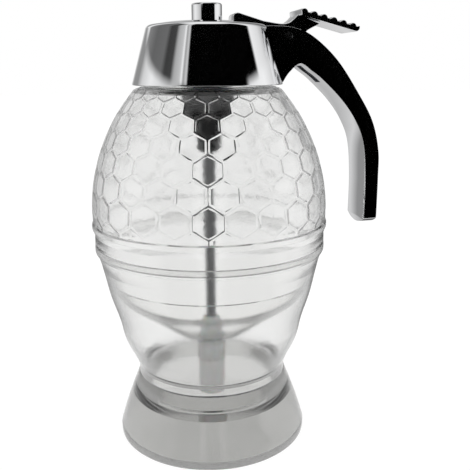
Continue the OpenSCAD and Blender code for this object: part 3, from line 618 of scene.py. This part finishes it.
def liner_piece():
    skirt_bore, skirt_r, skirt_z = NECK_R + 1.4, NECK_R + 2.8, PLATE_Z - 6.4
    plate_r, plate_top = cone_r(PLATE_Z + PLATE_T) - CAP_WALL - 0.15, PLATE_Z + PLATE_T
    outline = ([(HOUSING_R, BOSS_Z), (BOSS_R - 0.5, BOSS_Z), (BOSS_R, BOSS_Z + 0.5), (BOSS_R, PLATE_Z),
                (skirt_bore, PLATE_Z), (skirt_bore, skirt_z), (skirt_r, skirt_z), (skirt_r, PLATE_Z),
                (plate_r, PLATE_Z), (plate_r, plate_top), (ROD_R + 0.6, plate_top),
                (ROD_R + 0.6, PLATE_Z - 1), (HOUSING_R, PLATE_Z - 1)])
    return lathe("cap_liner_black", outline, 128)


def bush_piece():
    low = BOSS_Z - BUSH_H
    outline = [(ROD_R + 0.05, low + 0.3), (ROD_R + 0.35, low), (BUSH_R - 0.8, low), (BUSH_R, low + 0.8),
               (BUSH_R, BOSS_Z), (HOUSING_R, BOSS_Z), (HOUSING_R, BOSS_Z + 2.4), (ROD_R + 0.05, BOSS_Z + 2.4)]
    return lathe("guide_bush_black", outline, 96)


def post_piece():
    outline = ([(0, POST_Z), (POST_R - 0.3, POST_Z), (POST_R, POST_Z + 0.3)]
               + arc((POST_R - 0.7, POST_TOP_Z - 0.7), 0.7, 0, 90, 6) + [(0, POST_TOP_Z)])
    return lathe("lift_post_chrome", outline, 128)


# ---------- handle and lever ----------

def handle_piece():
    back = spline([(CAP_TOP_R - 3.4, TOP_Z - 1.9), (30, TOP_Z - 2.3), (38.4, TOP_Z - 5.3), (48.6, TOP_Z - 14),
                   (57.8, TOP_Z - 26.6), (64.2, TOP_Z - 37.5), (GRIP_X - 0.4, TOP_Z - 49),
                   (GRIP_X, TOP_Z - 60), (GRIP_X, GRIP_TIP_Z)], 10)
    grip_in = GRIP_X - GRIP_T
    belly = spline([(CAP_R - 1.7, CAP_Z + 0.2), (29.6, CAP_Z + 4.4), (33.9, CAP_Z + 7.6), (38.5, CAP_Z + 4.9),
                    (43.2, CAP_Z + 1.4), (51.1, CAP_Z - 6.2), (57, CAP_Z - 14.2), (60.8, CAP_Z - 23.5),
                    (grip_in, CAP_Z - 38), (grip_in, GRIP_TIP_Z)], 10)
    body = slab("handle_chrome", back + belly[::-1], HANDLE_W)
    sag = 2.5
    tip_r = ((HANDLE_W / 2) ** 2 + sag**2) / (2 * sag)
    tip_z = GRIP_TIP_Z + tip_r
    tip = cylinder_along("tip_tool", (GRIP_X - 20, 0, tip_z), (GRIP_X + 10, 0, tip_z), tip_r, 192)
    rest = box_piece("rest_tool", (0, -HANDLE_W, GRIP_TIP_Z + sag + 4), (GRIP_X + 10, HANDLE_W, TOP_Z + 10))
    cut(tip, rest, join=True)
    mod = body.modifiers.new("tip", "BOOLEAN")
    mod.operation, mod.solver, mod.object = "INTERSECT", "EXACT", tip
    evaluated(body)
    bpy.data.objects.remove(tip)
    bevelled(body, 0.35, 3, 40)
    seat = lathe("seat_tool", [(0, CAP_Z - 5), (CAP_R, CAP_Z - 5)] + CAP_OUTSIDE + [(0, TOP_Z)], 256)
    pin = cylinder_along("pin_tool", (PIVOT[0], -10, PIVOT[1]), (PIVOT[0], 10, PIVOT[1]), 1.5)
    core = box_piece("core_tool", (-5.2, -2.8, -6), (5.2, 2.8, 5))
    turn = Matrix.Translation(Vector((39.5, 0, CAP_Z + 3.2)) * MM) @ Matrix.Rotation(math.radians(39), 4, "Y")
    core.data.transform(turn)
    return shade(cut(body, seat, lever_slot(), pin, core), 20)


PAD_START, PAD_SLOPE, PAD_L, PAD_T = (PIVOT[0] + 4.9, PIVOT[1] + 7.3), math.radians(14.3), 23.8, 1.9
PAD_RIBS, RIB_R, RIB_FIRST, RIB_SINK = 6, 1.5, 0.85, 0.55


def on_pad(s, h):
    return (PAD_START[0] + s * math.cos(PAD_SLOPE) + h * math.sin(PAD_SLOPE),
            PAD_START[1] - s * math.sin(PAD_SLOPE) + h * math.cos(PAD_SLOPE))


def lever_piece():
    px, pz = PIVOT
    nose = (px - 29.9, POST_Z - 0.3 - 1.5)
    arm = (arc(nose, 1.5, 90, 270, 12) + [(px - 9, POCKET_Z + 0.9)] + arc(PIVOT, 4.2, 250, 300, 8)
           + [(px + 8.6, pz + 2.2), (px + 10.3, pz + 3.1), (px + 13.6, pz + 4.6), (px + 4.5, pz + 7.9)]
           + spline([(px + 2.8, pz + 6.2), (px + 0.7, pz + 4.9), (px - 2.4, pz + 4.6),
                     (px - 8.8, pz + 5.5)], 8)
           + arc((px - 18.6, pz + 6.6), 1.7, 75, 165, 8) + [(px - 20.3, POST_Z - 1.5)])
    body = slab("trigger_lever_chrome", arm, LEVER_W)
    bevelled(body, 0.4, 3, 50)
    pitch = (PAD_L - 2.9 - RIB_FIRST) / (PAD_RIBS - 1)
    top = [(0, 0), (0, 0.6)]
    start = math.degrees(math.asin(RIB_SINK / RIB_R))
    for k in range(PAD_RIBS):
        middle = RIB_FIRST + k * pitch
        for a in np.radians(np.linspace(160 if k == 0 else 180 - start, start, 11)):
            top.append((middle + RIB_R * math.cos(a), PAD_T - RIB_SINK + RIB_R * math.sin(a)))
    end_r = 1.5
    end = [(PAD_L - end_r + end_r * math.cos(a), end_r + end_r * math.sin(a))
           for a in np.linspace(0.7, -math.pi / 2, 9)]
    outline = [on_pad(s, h) for s, h in top + end]
    pad = bevelled(slab("pad_tool", outline, PAD_W), 0.35, 3, 60)
    cut(body, pad, join=True)
    fork = box_piece("fork_tool", (nose[0] - 2.5, -2.4, POST_Z - 5), (nose[0] + 6.5, 2.4, POST_Z + 1))
    pin = cylinder_along("pin_tool", (px, -6, pz), (px, 6, pz), 1.56)
    return shade(cut(body, fork, pin), 20)


def pin_piece():
    px, pz = PIVOT
    return shade(bevelled(cylinder_along("pivot_pin_steel", (px, -8.4, pz), (px, 8.4, pz), 1.5), 0.25, 2))


SPRING_TURNS, SPRING_R, WIRE_R, VALVE_STROKE = 7, 5.2, 0.4, 6.3


def spring_piece():
    """Round wire wound between the collar and the washer."""
    low, high = (corner[2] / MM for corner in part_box("return_spring"))
    steps, sides = 36 * SPRING_TURNS, 12
    bm = bmesh.new()
    rings = []
    for k in range(steps + 1):
        a = 2 * math.pi * SPRING_TURNS * k / steps
        z = low + WIRE_R + (high - low - 2 * WIRE_R) * k / steps
        spots = [(SPRING_R + WIRE_R * math.cos(b), z + WIRE_R * math.sin(b))
                 for b in (2 * math.pi * side / sides for side in range(sides))]
        rings.append([bm.verts.new((r * math.cos(a), r * math.sin(a), h)) for r, h in spots])
    for one, other in zip(rings, rings[1:]):
        for k in range(sides):
            n = (k + 1) % sides
            bm.faces.new([one[k], one[n], other[n], other[k]])
    bm.faces.new(rings[0])
    bm.faces.new(rings[-1])
    return shade(to_object(bm, "return_spring_steel"))


# ---------- assembly ----------

finish_piece(stand_piece(), "stand", "clear_plastic", STAND_CLEAR_PAINTED_SHADE, "stand")
finish_piece(bowl_piece(), "jar", "clear_plastic", JAR_CLEAR, "jar_bowl")
finish_piece(upper_piece(), "jar", "clear_plastic", JAR_CLEAR, "jar_upper")
finish_piece(funnel_piece(), "jar", "clear_plastic", FUNNEL_CLEAR, "funnel")
finish_piece(spout_piece(), "jar", "white_plastic", WHITE, "outlet_spout")
finish_piece(cap_piece(), "cap", "chrome_plate", CHROME, "cap_shell")
finish_piece(liner_piece(), "cap", "dark_plastic", BLACK, "cap_liner")
finish_piece(bush_piece(), "cap", "dark_plastic", BLACK, "guide_bush")
finish_piece(handle_piece(), "cap", "chrome_plate", CHROME, "handle")
finish_piece(pin_piece(), "cap", "steel", STEEL, "pivot_pin")
finish_piece(lever_piece(), "lever", "chrome_plate", CHROME, "trigger_lever")
finish_piece(post_piece(), "valve", "chrome_plate", CHROME, "lift_post")
finish_piece(rod_piece(), "valve", "steel", STEEL, "valve_rod")
finish_piece(stopper_piece(), "valve", "white_silicone", SILICONE, "stopper")
spring = finish_piece(spring_piece(), "valve", "steel", STEEL, "return_spring")
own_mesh(spring)

NODE_FINISH = {"liner_screws": STEEL, "rod_seal": RUBBER, "spring_washer": STEEL, "handle_screws": STEEL,
               "neck_gasket": SILICONE, "spring_collar": STEEL, "collar_clip": STEEL}
for node, material in NODE_FINISH.items():
    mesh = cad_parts[node].data
    mesh.materials.clear()
    mesh.materials.append(material)


# ---------- studio ----------

LIGHT_LEVEL = 0.8                          # the even light that falls on the pieces
FLOOR_TONE, FLOOR_WHITE = 0.9, 1.08        # the floor's own colour, and how white the camera sees it
FLOOR_GLOW = 0.88                          # how much of that white covers the floor's shadows

# What the object's surroundings look like in its reflections. The camera stands at 0 degrees, and positive
# angles run to its right. Each pair is an angle and a grey level: black flags, grey room, white soft boxes.
VIEW_TURN = math.radians(90 + 10.6)
LOW_BAND = [(-180, 0.5), (-165, 0.7), (-150, 0.3), (-132, 0.3), (-118, 0.7), (-96, 0.95), (-70, 0.75),
            (-46, 0.5), (-40, 0.0), (60, 0.0), (66, 0.9), (96, 1.0), (122, 0.7), (136, 0.1), (152, 0.12),
            (165, 0.7), (180, 0.5)]
HIGH_BAND = [(-180, 0.4), (-152, 0.35), (-146, 0.9), (-136, 0.9), (-130, 0.25), (-104, 0.14), (-80, 0.16),
             (-72, 0.05), (-60, 0.06), (-54, 0.45), (-44, 0.6), (-41, 1.0), (-38, 0.35), (-33, 0.7),
             (-31, 0.0), (84, 0.0), (88, 0.95), (108, 0.8), (130, 0.35), (146, 0.08), (160, 0.35), (180, 0.4)]

# What a ray sees that is reflected behind a clear wall: the camera's dark side with two bright strips. With
# the bands above, the shell's far side draws black lines over the honeycomb.
INSIDE_LOW = [(-180, 0.6), (-80, 0.6), (-60, 0.22), (60, 0.22), (80, 0.6), (180, 0.6)]
INSIDE_HIGH = [(-180, 0.7), (-80, 0.9), (-62, 0.02), (-17, 0.02), (-15, 1.7), (-10, 1.7), (-8, 0.02),
               (8, 0.02), (10, 1.7), (15, 1.7), (17, 0.02), (62, 0.02), (80, 0.9), (180, 0.7)]


def grey(level):
    return (level, level, level, 1)


def ramp(tree, value, stops):
    """A grey ramp through (position, level) stops."""
    node = tree.nodes.new("ShaderNodeValToRGB")
    elements = node.color_ramp.elements
    while len(elements) < len(stops):
        elements.new(0.5)
    for element, (place, level) in zip(elements, stops):
        element.position, element.color = place, grey(level)
    tree.links.new(value, node.inputs["Fac"])
    return node.outputs["Color"]


def rising(tree, value, start, stop):
    return ramp(tree, value, [(0.0, 0.0), (start, 0.0), (stop, 1.0), (1.0, 1.0)])


def mixed(tree, share, first, second):
    node = tree.nodes.new("ShaderNodeMix")
    node.data_type = "RGBA"
    feed(tree, (node.inputs[0], node.inputs[6], node.inputs[7]), (share, first, second))
    return node.outputs[2]


def surround(tree, vector, levels):
    """The grey levels round the object, by the direction of the vector."""
    turn = tree.nodes.new("ShaderNodeVectorRotate")
    turn.rotation_type = "Z_AXIS"
    turn.inputs["Angle"].default_value = VIEW_TURN
    tree.links.new(vector, turn.inputs["Vector"])
    wheel = tree.nodes.new("ShaderNodeTexGradient")
    wheel.gradient_type = "RADIAL"
    tree.links.new(turn.outputs["Vector"], wheel.inputs["Vector"])
    return ramp(tree, wheel.outputs["Fac"], [(0.5 + a / 360, level) for a, level in levels])


def any_of(tree, *names):
    """1 for a ray of any of the named kinds."""
    path = tree.nodes.new("ShaderNodeLightPath")
    total = path.outputs[names[0]]
    for name in names[1:]:
        total = calc(tree, "MAXIMUM", total, path.outputs[name])
    return total


def at_least_once(tree, depth):
    """1 for a ray that has been reflected, or has passed the clear plastic, at least once."""
    path = tree.nodes.new("ShaderNodeLightPath")
    return calc(tree, "MINIMUM", path.outputs[depth], 1.0)


def studio_world():
    """White for the camera and straight through the clear plastic, flags and soft boxes in reflections."""
    world = bpy.data.worlds.new("studio")
    bpy.context.scene.world = world
    world.use_nodes = True
    tree = world.node_tree
    back = tree.nodes["Background"]
    place, split = tree.nodes.new("ShaderNodeTexCoord"), tree.nodes.new("ShaderNodeSeparateXYZ")
    around = place.outputs["Generated"]
    tree.links.new(around, split.inputs[0])
    height = ranged(tree, split.outputs["Z"], 0.0, 1.0, start=-1.0)
    low, high = (surround(tree, around, levels) for levels in (LOW_BAND, HIGH_BAND))
    walls = mixed(tree, rising(tree, height, 0.6, 0.63), low, high)
    walls = mixed(tree, rising(tree, height, 0.94, 0.97), walls, grey(1))
    low, high = (surround(tree, around, levels) for levels in (INSIDE_LOW, INSIDE_HIGH))
    inside = mixed(tree, rising(tree, height, 0.41, 0.43), low, high)
    inside = mixed(tree, rising(tree, height, 0.94, 0.98), inside, grey(0.95))
    walls = mixed(tree, at_least_once(tree, "Transmission Depth"), walls, inside)
    colour = mixed(tree, at_least_once(tree, "Glossy Depth"), grey(1), walls)
    seen = any_of(tree, "Is Camera Ray", "Is Glossy Ray", "Is Transmission Ray")
    strength = ranged(tree, seen, LIGHT_LEVEL, 1.0)
    feed(tree, (back.inputs["Color"], back.inputs["Strength"]), (colour, strength))


def floor_piece():
    """A pale floor that looks white to the camera, and as it is lit through the plastic.

    Reflections see the flags that lie on it. Rays reflected behind a clear wall see painted shade there, a
    grey disc under the object.
    """
    bm = bmesh.new()
    bmesh.ops.create_grid(bm, x_segments=1, y_segments=1, size=4.0)
    bmesh.ops.translate(bm, verts=bm.verts, vec=(0, 0, -0.00005))
    mesh = bpy.data.meshes.new("floor")
    bm.to_mesh(mesh)
    bm.free()
    obj = link(bpy.data.objects.new("floor", mesh))
    mat = bpy.data.materials.new("pale_floor")
    mat.use_nodes = True
    tree = mat.node_tree
    tree.nodes.clear()
    out, mix = tree.nodes.new("ShaderNodeOutputMaterial"), tree.nodes.new("ShaderNodeMixShader")
    glow, matte = tree.nodes.new("ShaderNodeEmission"), tree.nodes.new("ShaderNodeBsdfDiffuse")
    matte.inputs["Color"].default_value = grey(FLOOR_TONE)
    place, length = tree.nodes.new("ShaderNodeTexCoord"), tree.nodes.new("ShaderNodeVectorMath")
    length.operation = "LENGTH"
    spot = place.outputs["Object"]
    tree.links.new(spot, length.inputs[0])
    away = ranged(tree, length.outputs["Value"], 0.0, 1.0, 0.08, 0.12)       # metres from the jar's axis
    far = ranged(tree, length.outputs["Value"], 0.0, 1.0, 0.7, 0.9)
    flags = mixed(tree, away, grey(1), surround(tree, spot, LOW_BAND))
    inside = mixed(tree, far, *(surround(tree, spot, levels) for levels in (INSIDE_LOW, INSIDE_HIGH)))
    # Painted shade: within about 10 cm of the jar's axis, rays reflected behind a clear wall see a mid-grey
    # disc under the object.
    inside = mixed(tree, away, grey(0.5), inside)
    flags = mixed(tree, at_least_once(tree, "Transmission Depth"), flags, inside)
    reflected = at_least_once(tree, "Glossy Depth")
    colour = mixed(tree, reflected, grey(FLOOR_WHITE), flags)
    seen = any_of(tree, "Is Camera Ray", "Is Glossy Ray")
    share = calc(tree, "MAXIMUM", ranged(tree, seen, 0.0, FLOOR_GLOW), reflected)
    feed(tree, (glow.inputs["Color"], mix.inputs["Fac"], mix.inputs[1], mix.inputs[2], out.inputs["Surface"]),
         (colour, share, matte.outputs[0], glow.outputs[0], mix.outputs[0]))
    mesh.materials.append(mat)


def camera():
    """The photograph's viewpoint: above the ring, looking down, from the left of the handle's plane."""
    pitch, roll = math.radians(14.2), math.radians(-0.3)
    ahead, right = Vector((0.225, 0.9744, 0)), Vector((0.9744, -0.225, 0))
    forward = ahead * math.cos(pitch) - Vector((0, 0, 1)) * math.sin(pitch)
    up = ahead * math.sin(pitch) + Vector((0, 0, 1)) * math.cos(pitch)
    side = right * math.cos(roll) + up * math.sin(roll)
    up = up * math.cos(roll) - right * math.sin(roll)
    data = bpy.data.cameras.new("view")
    data.sensor_width, data.lens = 36.0, 49.79
    data.clip_start, data.clip_end = 0.01, 20
    obj = link(bpy.data.objects.new("view", data))
    turn = Matrix((side, up, -forward)).transposed().to_4x4()
    obj.matrix_world = Matrix.Translation(Vector((-47.15, -248.67, 145.3)) * MM) @ turn
    bpy.context.scene.camera = obj


studio_world()
floor_piece()
camera()

scene = bpy.context.scene
scene.view_settings.view_transform = "Standard"
scene.cycles.max_bounces = scene.cycles.transmission_bounces = scene.cycles.glossy_bounces = 32
